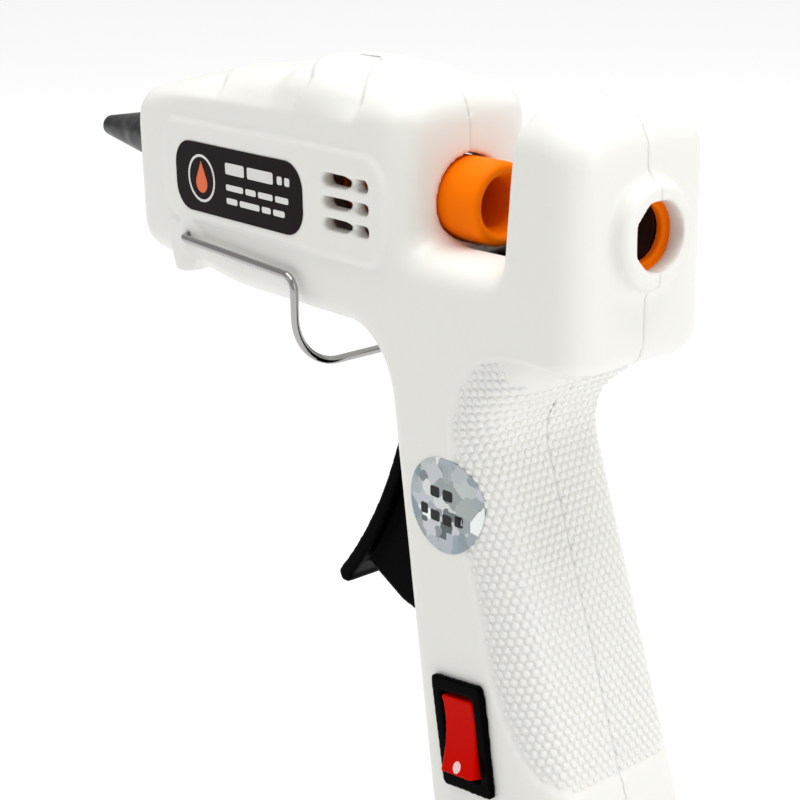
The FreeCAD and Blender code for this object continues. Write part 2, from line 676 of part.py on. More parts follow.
def switch_rectangle(width, length, gap):
    """Corners of a switch rectangle in the side plane, a gap larger all round."""
    place = switch_frame()
    half_w, half_l = DIMS[width] / 2 + gap, DIMS[length] / 2 + gap
    corners = [(-half_w, -half_l), (half_w, -half_l), (half_w, half_l), (-half_w, half_l)]
    points = [place.multVec(Vector(u, v, 0)) for u, v in corners]
    return polygon([(p.x, p.z) for p in points])


def switch():
    """Snap-in rocker switch: housing with a flange, rocker and two blades."""
    place = switch_frame()
    width, length = DIMS["bezel_width"], DIMS["bezel_length"]
    body_w, body_l = DIMS["switch_body_width"], DIMS["switch_body_length"]

    body = new_body("switch_housing")
    flange = sketch_on(body, "XY_Plane", 0.02)
    corner = 0.8
    add_path(flange, rounded([(-width / 2, -length / 2, corner), (-width / 2, length / 2, corner),
                              (width / 2, length / 2, corner), (width / 2, -length / 2, corner)]))
    pad(body, flange, "dims.bezel_rise")
    barrel = sketch_on(body, "XY_Plane", 0.02)
    add_path(barrel, rectangle(-body_w / 2, -body_l / 2, body_w / 2, body_l / 2))
    pad(body, barrel, "dims.switch_depth", True)
    well = sketch_on(body, "XY_Plane", 1.5)
    add_path(well, rectangle(-body_w / 2 + 1.1, -body_l / 2 + 0.5, body_w / 2 - 1.1, body_l / 2 - 0.5))
    pocket(body, well, 7.0)
    pivots = sketch_on(body, "YZ_Plane")
    add_circle(pivots, 0, -1.2, "0.85")
    pocket(body, pivots, "dims.switch_body_width - 1", both=True)
    body.Placement = place

    rocker = new_body("switch_rocker")
    half_w = body_w / 2 - 1.25
    side = sketch_on(rocker, "YZ_Plane")
    low_end, high_end = Vector(5.5, 1.0, 0), Vector(-5.1, 2.7, 0)
    face = Part.Arc(low_end, Vector(0.3, 0.95, 0), high_end)
    bottom = [Vector(-5.7, 0.0, 0), Vector(-3.0, -4.2, 0), Vector(3.0, -4.2, 0), Vector(5.5, -1.4, 0)]
    chain = [high_end] + bottom + [low_end]
    add_path(side, [face] + [Part.LineSegment(a, b) for a, b in zip(chain, chain[1:])])
    pad(rocker, side, 2 * half_w, both=True)
    axle = sketch_on(rocker, "YZ_Plane")
    add_circle(axle, 0, -1.2, "0.8")
    pad(rocker, axle, 2 * half_w + 0.9, both=True)
    rocker.Placement = place

    blades = []
    for row in (-4.0, 4.0):
        blade = box("blade", -1.6, 1.6, row - 0.4, row + 0.4, -DIMS["switch_depth"] - 5.5,
                    -DIMS["switch_depth"] + 0.02)
        blade.Placement = place.multiply(blade.Placement)
        blades.append(blade)
    group("switch_terminals", blades)


# ---- trim, fasteners and wiring ----------------------------------------------------------------------

def label_and_sticker():
    label = new_body("label_plate")
    sketch = side_sketch(label, LEFT, DIMS["panel_rise"] - DIMS["label_depth"])
    gap, corner = 0.1, 3.9
    add_path(sketch, rounded([(-87.0 + gap, -7.0 + gap, corner), (-87.0 + gap, 3.7 - gap, corner),
                              (-54.5 - gap, 3.7 - gap, corner), (-54.5 - gap, -7.0 + gap, corner)]))
    pad(label, sketch, "dims.label_thick")
    sticker = new_body("inspection_sticker")
    disc = side_sketch(sticker, LEFT, 0.02)
    add_circle(disc, -25.8, -38.6, "6.6")
    pad(sticker, disc, 0.12)


def housing_screws():
    """Self-tapping screws, put in from the right side."""
    screws = []
    for index, (x, z) in enumerate(SCREWS):
        head_y = DIMS["half_nose"] - 1.8
        shank = rod("screw_shank_%d" % index, "dims.screw_radius", head_y + 7.0, Vector(x, -7.0, z))
        head = rod("screw_head_%d" % index, "dims.screw_head", 1.5, Vector(x, head_y, z))
        slot = box("screw_slot_%d" % index, x - 1.6, x + 1.6, head_y + 0.9, head_y + 2.0, z - 0.3, z + 0.3)
        cross = box("screw_cross_%d" % index, x - 0.3, x + 0.3, head_y + 0.9, head_y + 2.0, z - 1.6, z + 1.6)
        screw = doc.addObject("Part::Fuse", "screw_%d" % index)
        screw.Base, screw.Tool = shank, head
        slotted = cut("screw_slotted_%d" % index, screw, slot)
        screws.append(cut("screw_done_%d" % index, slotted, cross))
    group("housing_screws", screws)


def cord_inlet_bush():
    """Bush in the base that the mains cord enters through."""
    bore = DIMS["inlet_bore"]
    body = new_body("cord_inlet_bush")
    sketch = sketch_on(body, "XZ_Plane")
    profile = [(bore, 0.0), (bore + 2.4, 0.0), (bore + 2.4, 0.8), (bore + 1.5, 0.8), (bore + 1.5, 2.8),
               (bore + 2.6, 2.8), (bore + 2.6, 4.0), (bore, 4.0)]
    add_path(sketch, polygon(profile))
    feature = body.newObject("PartDesign::Revolution", "Revolution")
    feature.Profile = sketch
    feature.ReferenceAxis = (sketch, ["V_Axis"])
    feature.Angle = 360.0
    doc.recompute()
    body.Placement.Base = Vector(-17.5, 0, -92.8)


def wiring():
    """Three insulated leads and the crimp sleeves where the mains cord would join."""
    radius = DIMS["lead_radius"]
    routes = {
        "heater_lead_live": [(-63.3, 2.2, -9.0), (-58.0, 4.0, -12.0), (-44.0, 7.6, -13.0),
                             (-30.2, 8.4, -13.6), (-27.5, 8.4, -30.0), (-26.0, 8.2, -55.0),
                             (-22.3, 7.4, -67.0), (-22.3, 2.4, -67.2)],
        "heater_lead_neutral": [(-63.3, -2.2, -9.0), (-57.5, -0.5, -12.4), (-45.0, 5.2, -14.4),
                                (-31.5, 6.4, -14.6), (-28.6, 6.4, -30.0), (-27.2, 6.2, -55.0),
                                (-17.0, 5.8, -70.0), (-12.0, 3.5, -76.0), (-12.0, 3.5, -80.5)],
        "switch_lead": [(-20.8, 2.6, -75.2), (-20.4, 6.4, -76.0), (-16.4, 6.2, -79.0),
                        (-16.0, 6.0, -82.4)],
    }
    for name, route in routes.items():
        points = [Vector(*p) for p in route]
        bends = []
        for before, corner, after in zip(points, points[1:], points[2:]):
            shorter = min((corner - before).Length, (after - corner).Length)
            half_turn = (corner - before).getAngle(after - corner) / 2
            bends.append(min(0.45 * shorter / math.tan(half_turn), 30.0))
        put(bent_rod(name, "dims.lead_radius", points, bends), name)
    crimps = [rod("crimp_neutral", "dims.lead_radius + 0.8", 5.5, Vector(-12.0, 3.5, -86.0), UP),
              rod("crimp_live", "dims.lead_radius + 0.8", 5.5, Vector(-16.0, 6.0, -88.0), UP)]
    group("crimp_sleeves", crimps)


# ---- build, check and export -------------------------------------------------------------------------

for make in (left_shell, right_shell, nozzle, melt_chamber, heater, inlet_sleeve, heat_rings,
             stick_guide_ring, feed_carriage, grip_jaw, trigger, trigger_spring, stand_wire, switch,
             label_and_sticker, housing_screws, cord_inlet_bush, wiring):
    make()
doc.recompute()

faults = ["%s is %s" % (o.Label, s) for o in doc.Objects for s in ("Invalid", "Error") if s in o.State]
for name, obj in EXPORTS:
    if obj.Shape.isNull() or not obj.Shape.isValid() or not obj.Shape.Solids:
        faults.append("%s has no valid solid" % name)
if faults:
    raise RuntimeError("; ".join(faults))

os.makedirs("parts", exist_ok=True)
for name, obj in EXPORTS:
    obj.Shape.exportStep("parts/%s.step" % name)
    print("%-22s %2d solid(s) %9.1f mm3" % (name, len(obj.Shape.Solids), obj.Shape.Volume))
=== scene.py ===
import json
import math

import bpy
import numpy as np
from mathutils import Matrix, Vector
from mathutils.bvhtree import BVHTree


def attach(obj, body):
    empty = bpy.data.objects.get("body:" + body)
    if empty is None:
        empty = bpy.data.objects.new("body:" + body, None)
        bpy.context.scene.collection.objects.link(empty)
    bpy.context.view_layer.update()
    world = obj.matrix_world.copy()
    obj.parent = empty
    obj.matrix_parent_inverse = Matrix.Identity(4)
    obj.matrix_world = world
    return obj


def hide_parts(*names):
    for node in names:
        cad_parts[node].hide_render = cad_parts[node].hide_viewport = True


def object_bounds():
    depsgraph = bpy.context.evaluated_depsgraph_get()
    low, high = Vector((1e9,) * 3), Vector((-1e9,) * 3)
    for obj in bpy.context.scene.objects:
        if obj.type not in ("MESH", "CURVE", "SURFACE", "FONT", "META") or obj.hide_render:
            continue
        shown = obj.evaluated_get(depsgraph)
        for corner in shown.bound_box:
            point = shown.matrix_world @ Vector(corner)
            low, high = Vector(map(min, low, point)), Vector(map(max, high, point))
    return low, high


MM = 0.001      # the script's own measures are millimetres, the scene is in metres
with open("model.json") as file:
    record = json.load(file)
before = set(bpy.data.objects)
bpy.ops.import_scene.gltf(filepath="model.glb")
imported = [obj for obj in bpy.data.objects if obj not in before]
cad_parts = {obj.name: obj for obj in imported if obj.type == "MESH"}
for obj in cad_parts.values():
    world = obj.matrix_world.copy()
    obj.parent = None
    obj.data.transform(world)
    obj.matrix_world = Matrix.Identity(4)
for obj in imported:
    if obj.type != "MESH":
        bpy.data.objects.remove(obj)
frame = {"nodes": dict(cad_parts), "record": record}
NODES = frame["nodes"]
cad_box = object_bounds()

# Side slope of the housing: its half width grows towards the rear
SLOPE = 1.8 / 100.3
OUT_LEFT = np.array((-SLOPE, -1.0, 0.0)) / math.hypot(SLOPE, 1.0)

# keeps each half of the housing under 200 000 triangles
SHELL_VOXEL = 0.49      # voxel size of the remeshed housing halves, coarse enough to keep their meshes small
SEAM = 0.3              # points nearer the parting plane than this stay on it

# Border of the beaded grip in side view (x, z), in millimetres
GRIP = [(-18.7, -17.0), (-20.6, -18.2), (-22.6, -20.6), (-24.0, -23.6), (-24.9, -27.0), (-24.7, -31.0),
        (-23.6, -36.5), (-21.8, -44.6), (-20.2, -49.6), (-18.7, -55.4), (-17.4, -60.0), (-15.4, -64.8),
        (-13.4, -68.0), (-11.2, -71.0), (-8.6, -73.2), (-5.6, -74.6), (-3.2, -75.6), (6.0, -77.0),
        (6.0, -18.0), (-2.0, -17.2), (-6.8, -15.9), (-10.6, -15.4), (-14.5, -15.4)]

# Each scale-like step on the hood: (|y|, x) along its line, its height, and the z where it fades out
GILLS = [([(0, -84.0), (5, -81.0), (7.5, -78.8), (9.6, -76.6), (12, -76.0)], 0.5, 11.6),
         ([(0, -62.2), (5, -59.6), (8, -57.0), (9.4, -55.4), (10.8, -55.2), (12.4, -57.4)], 0.7, 10.8),
         ([(0, -50.5), (5, -47.6), (8, -45.4), (9.5, -44.2), (11, -43.1), (12.6, -43.3)], 0.7, 11.2)]


# Pitch of the beads along a row, distance between rows, and the directions of the handle
PITCH = 1.26
ROW = 1.09
DOWN = np.array((0.2298, 0.0, -0.9732))
BACK = np.array((0.9732, 0.0, 0.2298))
SIDE = np.array((0.0, 1.0, 0.0))

# Profile of one bead (radius, height) from its foot to its top, and its number of sides
DOME = [(0.6, -0.12), (0.56, 0.05), (0.43, 0.19), (0.22, 0.275)]
TURNS = 8

# Marks: centre of the label's ring and of the round film in side view (x, z), and the film's radius
RING_AT = (-79.9, -1.7)
FILM_AT = (-25.8, -38.6)
FILM_RADIUS = 6.7


# ---- materials -----------------------------------------------------------------------------------

def new_node(tree, kind, **values):
    """A shader node with the given inputs or settings."""
    node = tree.nodes.new(kind)
    for key, value in values.items():
        if key in node.inputs:
            node.inputs[key].default_value = value
        else:
            setattr(node, key, value)
    return node


def surface(name, colour, rough, metal=0.0, grain=1400.0, bump=0.12, wear=0.06, scratch=0.0,
            brush=None, specular=0.5, subsurface=0.0):
    """A finish with fine grain, worn patches in its roughness and, where asked for, fine scratches."""
    material = bpy.data.materials.new(name)
    material.use_nodes = True
    tree = material.node_tree
    shader = tree.nodes["Principled BSDF"]
    shader.inputs["Base Color"].default_value = (*colour, 1.0)
    shader.inputs["Metallic"].default_value = metal
    shader.inputs["Specular IOR Level"].default_value = specular
    if subsurface:
        shader.inputs["Subsurface Weight"].default_value = subsurface
        shader.inputs["Subsurface Radius"].default_value = (1.0, 0.8, 0.6)
        shader.inputs["Subsurface Scale"].default_value = 0.0012
    place = tree.nodes.new("ShaderNodeTexCoord")
    fine = new_node(tree, "ShaderNodeTexNoise", Scale=grain, Detail=3.0)
    if brush:
        stretch = new_node(tree, "ShaderNodeMapping", Scale=brush)
        tree.links.new(place.outputs["Object"], stretch.inputs["Vector"])
        tree.links.new(stretch.outputs["Vector"], fine.inputs["Vector"])
    else:
        tree.links.new(place.outputs["Object"], fine.inputs["Vector"])
    relief = new_node(tree, "ShaderNodeBump", Strength=bump, Distance=0.00005)
    height = fine.outputs["Fac"]
    if scratch:
        lines = new_node(tree, "ShaderNodeTexNoise", Scale=1.0, Detail=2.0, Distortion=0.4)
        turn = new_node(tree, "ShaderNodeMapping", Scale=(90.0, 1500.0, 1300.0), Rotation=(0.3, 0.5, 0.2))
        keep = new_node(tree, "ShaderNodeMapRange")
        keep.inputs["From Min"].default_value = 0.66
        keep.inputs["From Max"].default_value = 0.72
        keep.inputs["To Max"].default_value = -scratch
        both = new_node(tree, "ShaderNodeMath", operation="ADD")
        tree.links.new(place.outputs["Object"], turn.inputs["Vector"])
        tree.links.new(turn.outputs["Vector"], lines.inputs["Vector"])
        tree.links.new(lines.outputs["Fac"], keep.inputs["Value"])
        tree.links.new(keep.outputs["Result"], both.inputs[0])
        tree.links.new(height, both.inputs[1])
        height = both.outputs["Value"]
    tree.links.new(height, relief.inputs["Height"])
    tree.links.new(relief.outputs["Normal"], shader.inputs["Normal"])
    patches = new_node(tree, "ShaderNodeTexNoise", Scale=110.0, Detail=5.0)
    spread = new_node(tree, "ShaderNodeMapRange")
    spread.inputs["From Min"].default_value = 0.3
    spread.inputs["From Max"].default_value = 0.7
    spread.inputs["To Min"].default_value = rough - wear
    spread.inputs["To Max"].default_value = rough + wear
    tree.links.new(place.outputs["Object"], patches.inputs["Vector"])
    tree.links.new(patches.outputs["Fac"], spread.inputs["Value"])
    tree.links.new(spread.outputs["Result"], shader.inputs["Roughness"])
    return material


def tint(material, stops, scale, kind="ShaderNodeTexNoise", output="Fac"):
    """Lets the base colour wander between stops with a solid texture."""
    tree = material.node_tree
    place = next(n for n in tree.nodes if n.bl_idname == "ShaderNodeTexCoord")
    texture = new_node(tree, kind, Scale=scale)
    ramp = tree.nodes.new("ShaderNodeValToRGB")
    ramp.color_ramp.elements[0].position = stops[0][0]
    ramp.color_ramp.elements[0].color = (*stops[0][1], 1.0)
    ramp.color_ramp.elements[1].position = stops[-1][0]
    ramp.color_ramp.elements[1].color = (*stops[-1][1], 1.0)
    for position, colour in stops[1:-1]:
        ramp.color_ramp.elements.new(position).color = (*colour, 1.0)
    tree.links.new(place.outputs["Object"], texture.inputs["Vector"])
    tree.links.new(texture.outputs[output], ramp.inputs["Fac"])
    tree.links.new(ramp.outputs["Color"], tree.nodes["Principled BSDF"].inputs["Base Color"])


PAINT = {
    "housing_plastic": surface("housing_plastic", (0.84, 0.835, 0.79), 0.36, bump=0.1, wear=0.05,
                               scratch=0.25, subsurface=0.12),
    "nozzle_metal": surface("nozzle_metal", (0.06, 0.062, 0.066), 0.34, metal=0.9, grain=1.0,
                            brush=(2600.0, 160.0, 160.0), bump=0.35, wear=0.09, scratch=0.5),
    "aluminium_casting": surface("aluminium_casting", (0.62, 0.62, 0.63), 0.5, metal=1.0, bump=0.5),
    "ceramic_element": surface("ceramic_element", (0.78, 0.76, 0.72), 0.7, bump=0.3),
    "amber_film": surface("amber_film", (0.62, 0.3, 0.05), 0.3, bump=0.05),
    "spring_steel": surface("spring_steel", (0.42, 0.42, 0.43), 0.3, metal=1.0, scratch=0.3),
    "orange_silicone": surface("orange_silicone", (1.0, 0.19, 0.0), 0.45, bump=0.15, wear=0.07,
                               scratch=0.2, specular=0.04),
    "insulating_board": surface("insulating_board", (0.3, 0.19, 0.1), 0.8, bump=0.7),
    "carriage_plastic": surface("carriage_plastic", (0.03, 0.008, 0.003), 0.45, scratch=0.2, specular=0.08),
    "bright_steel": surface("bright_steel", (0.66, 0.66, 0.68), 0.28, metal=1.0, scratch=0.4),
    "black_plastic": surface("black_plastic", (0.0008, 0.0008, 0.0006), 0.3, bump=0.18, wear=0.06,
                             scratch=0.35, specular=0.012),
    "chrome_wire": surface("chrome_wire", (0.42, 0.41, 0.4), 0.1, metal=1.0, grain=1.0,
                           brush=(500.0, 900.0, 900.0), bump=0.12, wear=0.04, scratch=0.3),
    "switch_black": surface("switch_black", (0.001, 0.001, 0.001), 0.3, bump=0.08, scratch=0.25,
                            specular=0.012),
    "switch_red": surface("switch_red", (0.6, 0.003, 0.0005), 0.22, bump=0.04, wear=0.05, scratch=0.2,
                          specular=0.02),
    "terminal_brass": surface("terminal_brass", (0.7, 0.48, 0.2), 0.35, metal=1.0, scratch=0.3),
    "label_film": surface("label_film", (0.009, 0.0035, 0.004), 0.3, bump=0.03, wear=0.05, scratch=0.2,
                          specular=0.05),
    "silver_film": surface("silver_film", (0.6, 0.62, 0.63), 0.24, metal=0.55, bump=0.05, scratch=0.3),
    "black_rubber": surface("black_rubber", (0.015, 0.015, 0.015), 0.6, bump=0.25),
    "lead_white": surface("lead_white", (0.75, 0.74, 0.7), 0.7, grain=3000.0, bump=0.6),
    "crimp_metal": surface("crimp_metal", (0.55, 0.54, 0.5), 0.35, metal=1.0, scratch=0.4),
}
PRINT_WHITE = surface("print_white", (0.75, 0.74, 0.72), 0.4, bump=0.05)
PRINT_ORANGE = surface("print_orange", (0.8, 0.12, 0.01), 0.4, bump=0.05)
PRINT_DARK = surface("print_dark", (0.01, 0.01, 0.011), 0.4, bump=0.05, specular=0.2)
MARK_PALE = surface("mark_pale", (0.9, 0.62, 0.6), 0.35, bump=0.05)
tint(PAINT["nozzle_metal"], [(0.3, (0.012, 0.013, 0.014)), (0.5, (0.03, 0.032, 0.034)),
                             (0.68, (0.075, 0.076, 0.078))], 420.0)
tint(PAINT["silver_film"], [(0.15, (0.1, 0.12, 0.13)), (0.32, (0.36, 0.4, 0.42)),
                            (0.45, (0.2, 0.28, 0.3)), (0.55, (0.55, 0.56, 0.6)),
                            (0.7, (0.3, 0.34, 0.33)), (0.85, (0.85, 0.88, 0.86))],
     430.0, "ShaderNodeTexVoronoi", "Color")
facets = next(n for n in PAINT["silver_film"].node_tree.nodes if n.bl_idname == "ShaderNodeTexVoronoi")
facets.distance = "MANHATTAN"

slot_of = {row["node"]: row["material_slot"] for row in frame["record"]["subparts"]}
for label, node in NODES.items():
    node.data.materials.clear()
    node.data.materials.append(PAINT[slot_of[label]])


# ---- meshes --------------------------------------------------------------------------------------

def add_piece(name, mesh, material, body, smooth=True):
    """A new visible piece that rides on a body."""
    mesh.materials.clear()
    mesh.materials.append(material)
    mesh.polygons.foreach_set("use_smooth", [smooth] * len(mesh.polygons))
    piece = bpy.data.objects.new(name, mesh)
    bpy.context.scene.collection.objects.link(piece)
    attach(piece, body)
    return piece


def even_mesh(name, node, voxel):
    """A closed, evenly meshed copy of a CAD node."""
    holder = bpy.data.objects.new(name, NODES[node].data.copy())
    bpy.context.scene.collection.objects.link(holder)
    remesh = holder.modifiers.new("even", "REMESH")
    remesh.mode = "VOXEL"
    remesh.voxel_size = voxel * MM
    graph = bpy.context.evaluated_depsgraph_get()
    mesh = bpy.data.meshes.new_from_object(holder.evaluated_get(graph))
    bpy.data.objects.remove(holder)
    mesh.name = name
    return mesh


def read(mesh):
    """Points and normals in millimetres, and the edges."""
    points = np.empty(3 * len(mesh.vertices))
    normals = np.empty(3 * len(mesh.vertices))
    edges = np.empty(2 * len(mesh.edges), dtype=np.int64)
    mesh.vertices.foreach_get("co", points)
    mesh.vertex_normals.foreach_get("vector", normals)
    mesh.edges.foreach_get("vertices", edges)
    return points.reshape(-1, 3) / MM, normals.reshape(-1, 3), edges.reshape(-1, 2)


def write(mesh, points):
    """Puts points, in millimetres, back into the mesh."""
    mesh.vertices.foreach_set("co", (points * MM).ravel())
    mesh.update()


def relaxed(points, edges, weight, rounds):
    """Each point moves towards the mean of its neighbours, by its own weight on each axis."""
    first, second = edges.T
    total = len(points)
    near = np.bincount(edges.ravel(), minlength=total)
    for _ in range(rounds):
        mean = np.stack([np.bincount(first, points[second, k], total)
                         + np.bincount(second, points[first, k], total) for k in range(3)], axis=1)
        points = points + weight * (mean / near[:, None] - points)
    return points


def step(value, low, high):
    """0 below low, 1 above high, and a smooth rise between."""
    part = np.clip((value - low) / (high - low), 0.0, 1.0)
    return part * part * (3 - 2 * part)


def depth_inside(x, z, outline):
    """Distance from the outline in side view: positive inside, negative outside."""
    corners = np.array(outline)
    best = np.full(len(x), 1e9)
    inside = np.zeros(len(x), dtype=bool)
    for (ax, az), (bx, bz) in zip(corners, np.roll(corners, -1, axis=0)):
        square = (bx - ax) ** 2 + (bz - az) ** 2
        along = np.clip(((x - ax) * (bx - ax) + (z - az) * (bz - az)) / square, 0, 1)
        best = np.minimum(best, np.hypot(x - ax - along * (bx - ax), z - az - along * (bz - az)))
        if az != bz:
            inside ^= ((az > z) != (bz > z)) & (x < (bx - ax) * (z - az) / (bz - az) + ax)
    return np.where(inside, best, -best)


def tree_of(meshes):
    """All the meshes' faces as one ray-casting tree, in millimetres."""
    corners, faces = [], []
    for mesh in meshes:
        start = len(corners)
        corners += [v.co / MM for v in mesh.vertices]
        faces += [[start + k for k in p.vertices] for p in mesh.polygons]
    return BVHTree.FromPolygons(corners, faces)


def is_open(tree, point, normal, reach):
    """Whether nothing stands over a point of the surface within reach."""
    start = Vector(point) + 0.15 * Vector(normal)
    return tree.ray_cast(start, Vector(normal), reach)[0] is None


# ---- housing -------------------------------------------------------------------------------------

def keep_sharp(points):
    """1 over the plain skin, 0 over the label panel, switch, stand lugs, stick hole and sleeve hole."""
    x, y, z = points.T
    left = y < -9.0
    fine = left & (x > -92.5) & (x < -36.0) & (z > -9.5) & (z < 8.0)
    fine |= left & (x > -29.5) & (x < -13.5) & (z > -82.5) & (z < -60.0)
    fine |= (x > -93.0) & (x < -80.0) & (z < -8.0)
    fine |= (x > -4.5) & (np.hypot(y, z) < 9.0)
    fine |= (x < -31.0) & (x > -36.5) & (np.hypot(y, z) < 7.6)
    return np.where(fine, 0.0, 1.0)


def domed(points):
    """The hood and the rear block, arched across and a little narrower at the block."""
    x, y, z = points.T.copy()
    hood = (0.017 - 0.011 * step(x, -46.0, -42.0)) * y * y * step(z, 9.0, 14.0)
    block = 0.012 * y * y * step(z, 6.0, 15.5)
    z -= np.where(x < -25.0, hood, block)
    y -= 0.045 * y * step(x, -16.5, -11.0) * step(z, -18.0, -12.0)
    return np.stack([x, y, z], axis=1)


def smoothed_shell(name, node):
    """Half of the housing, evenly meshed, arched and eased, with its parting plane kept flat."""
    mesh = even_mesh(name, node, SHELL_VOXEL)
    points, _, edges = read(mesh)
    calm = (0.3 + 0.7 * keep_sharp(points)) * (0.3 + 0.7 * step(np.abs(points[:, 1]), SEAM, 1.2))
    weight = 0.5 * np.repeat(calm[:, None], 3, axis=1)
    weight[np.abs(points[:, 1]) < SEAM, 1] = 0.0
    points = relaxed(domed(points), edges, weight, 3)
    broad = keep_sharp(points) * step(np.abs(points[:, 1]), 0.4, 1.6)
    points = relaxed(points, edges, 0.5 * np.repeat(broad[:, None], 3, axis=1), 12)
    write(mesh, points)
    return mesh


def pressed_in(points, normals, tree):
    """Depth of the grip's recess and of the steps on the hood, at each point."""
    x, y, z = points.T
    depth = np.zeros(len(points))
    edge = depth_inside(x, z, GRIP)
    near = np.flatnonzero(edge > -0.2)
    for k in near:
        if is_open(tree, points[k], normals[k], 4.0):
            depth[k] = 0.34 * step(edge[k], -0.15, 0.75)
    hood = np.flatnonzero((z > 9.5) & (x < -40.0) & (normals[:, 2] + 1.2 * np.abs(normals[:, 1]) > 0.5))
    for line, height, low in GILLS:
        where = np.interp(np.abs(y[hood]), *np.array(line).T)
        ahead = where - x[hood]
        ramp = np.where(ahead > 0, 1 - ahead / 13.0, 0.0).clip(0, 1) * step(ahead, 0.0, 0.5)
        drop = height * ramp * step(z[hood], low - 2.0, low + 2.0)
        for k, amount in zip(hood, drop):
            beside_seam = abs(y[k]) < 0.8
            if amount > 0.005 and (beside_seam or is_open(tree, points[k], normals[k], 4.0)):
                depth[k] = max(depth[k], amount)
    return depth


shells = {"left_housing": smoothed_shell("left_housing", "left_shell"),
          "right_housing": smoothed_shell("right_housing", "right_shell")}
whole = tree_of(shells.values())
for title, mesh in shells.items():
    points, normals, _ = read(mesh)
    flat = normals * np.stack([np.ones(len(points)), step(np.abs(points[:, 1]), 0.5, 1.2),
                               np.ones(len(points))], axis=1)
    flat /= np.linalg.norm(flat, axis=1).clip(0.3)[:, None]
    write(mesh, points - flat * pressed_in(points, normals, whole)[:, None])
whole = tree_of(shells.values())
for title, node in (("left_housing", "left_shell"), ("right_housing", "right_shell")):
    piece = add_piece(title, shells[title], PAINT["housing_plastic"], "housing")
    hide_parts(node)


# ---- beads of the grip ---------------------------------------------------------------------------

def grip_row(centre, hand):
    """Points and normals around one half of the handle, from the back seam to the front of the grip."""
    found = []
    for degrees in np.arange(0.6, 122.0, 0.6):
        turn = math.radians(degrees)
        spoke = math.cos(turn) * 10.0 * BACK + hand * math.sin(turn) * 13.6 * SIDE
        for reach in (1.0, 1.12, 1.25, 1.4):
            start = Vector(centre + reach * spoke)
            spot, normal, _, _ = whole.ray_cast(start, Vector(-spoke).normalized(), 7.0)
            if spot is not None and normal.dot(Vector(spoke)) > 0 and is_open(whole, spot, normal, 40.0):
                found.append((np.array(spot), np.array(normal)))
                break
    return found


def bead_places(hand):
    """Spot, normal and size of each bead on one half: staggered rows, smaller beads at the border."""
    places = []
    for row in range(60):
        centre = np.array((-26.0, 0.0, -14.0)) + row * ROW * DOWN
        found = grip_row(centre, hand)
        if len(found) < 2:
            continue
        spots = np.array([f[0] for f in found])
        length = np.concatenate(([0.0], np.cumsum(np.linalg.norm(np.diff(spots, axis=0), axis=1))))
        for at in np.arange(PITCH * (0.5 + 0.5 * (row % 2)), length[-1], PITCH):
            spot = np.array([np.interp(at, length, spots[:, k]) for k in range(3)])
            normal = found[int(np.searchsorted(length, at))][1]
            edge = depth_inside(spot[:1], spot[2:], GRIP)[0]
            if edge > 0.75 and is_open(whole, spot, normal, 4.0):
                places.append((spot, normal, 0.75 + 0.25 * min(1.0, (edge - 0.75) / 1.5)))
    return places


def bead_mesh(name, places):
    """One mesh of closed domes."""
    corners, faces = [], []
    for spot, normal, size in places:
        across = np.cross(normal, DOWN)
        across /= np.linalg.norm(across)
        other = np.cross(normal, across)
        start = len(corners)
        for radius, height in DOME:
            for k in range(TURNS):
                turn = 2 * math.pi * k / TURNS
                ring = radius * (math.cos(turn) * across + math.sin(turn) * other)
                corners.append(spot + size * (ring + height * normal))
        for level in range(len(DOME) - 1):
            for k in range(TURNS):
                a, b = start + level * TURNS + k, start + level * TURNS + (k + 1) % TURNS
                faces.append((a, b, b + TURNS, a + TURNS))
        top = start + (len(DOME) - 1) * TURNS
        faces.append(tuple(range(top, top + TURNS)))
        faces.append(tuple(range(start + TURNS - 1, start - 1, -1)))
    mesh = bpy.data.meshes.new(name)
    mesh.from_pydata([tuple(c * MM) for c in corners], [], faces)
    mesh.update()
    return mesh


for title, hand in (("left_grip_beads", -1), ("right_grip_beads", 1)):
    beads = add_piece(title, bead_mesh(title, bead_places(hand)), PAINT["housing_plastic"], "housing")


# ---- smaller mouldings ---------------------------------------------------------------------------

for node, voxel, rounds, body in (("trigger", 0.3, 6, "trigger"), ("switch_housing", 0.2, 2, "housing"),
                                  ("switch_rocker", 0.16, 5, "rocker"), ("inlet_sleeve", 0.24, 4, "housing"),
                                  ("stick_guide_ring", 0.2, 2, "housing"),
                                  ("feed_carriage", 0.3, 2, "feed_carriage")):
    mesh = even_mesh(node + "_moulding", node, voxel)
    points, _, edges = read(mesh)
    write(mesh, relaxed(points, edges, 0.5, rounds))
    piece = add_piece(node + "_moulding", mesh, PAINT[slot_of[node]], body)
    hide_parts(node)


# ---- printed marks -------------------------------------------------------------------------------

def outer_level(node, out):
    """How far a node's outermost point lies along out."""
    return max(float(np.dot(np.array(v.co) / MM, out)) for v in NODES[node].data.vertices)


def plate(name, outlines, level, out, material):
    """Thin raised print: outlines in side view (x, z), on the plane at level along out."""
    corners, faces = [], []
    for outline in outlines:
        start, count = len(corners), len(outline)
        for lift in (-0.05, 0.03):
            for x, z in outline:
                y = (level + lift - out[0] * x - out[2] * z) / out[1]
                corners.append((x * MM, y * MM, z * MM))
        faces.append(tuple(range(start + count, start + 2 * count)))
        faces.append(tuple(range(start + count - 1, start - 1, -1)))
        for k in range(count):
            a, b = start + k, start + (k + 1) % count
            faces.append((a, b, b + count, a + count))
    mesh = bpy.data.meshes.new(name)
    mesh.from_pydata(corners, [], faces)
    mesh.update()
    piece = add_piece(name, mesh, material, "housing", smooth=False)
    return piece


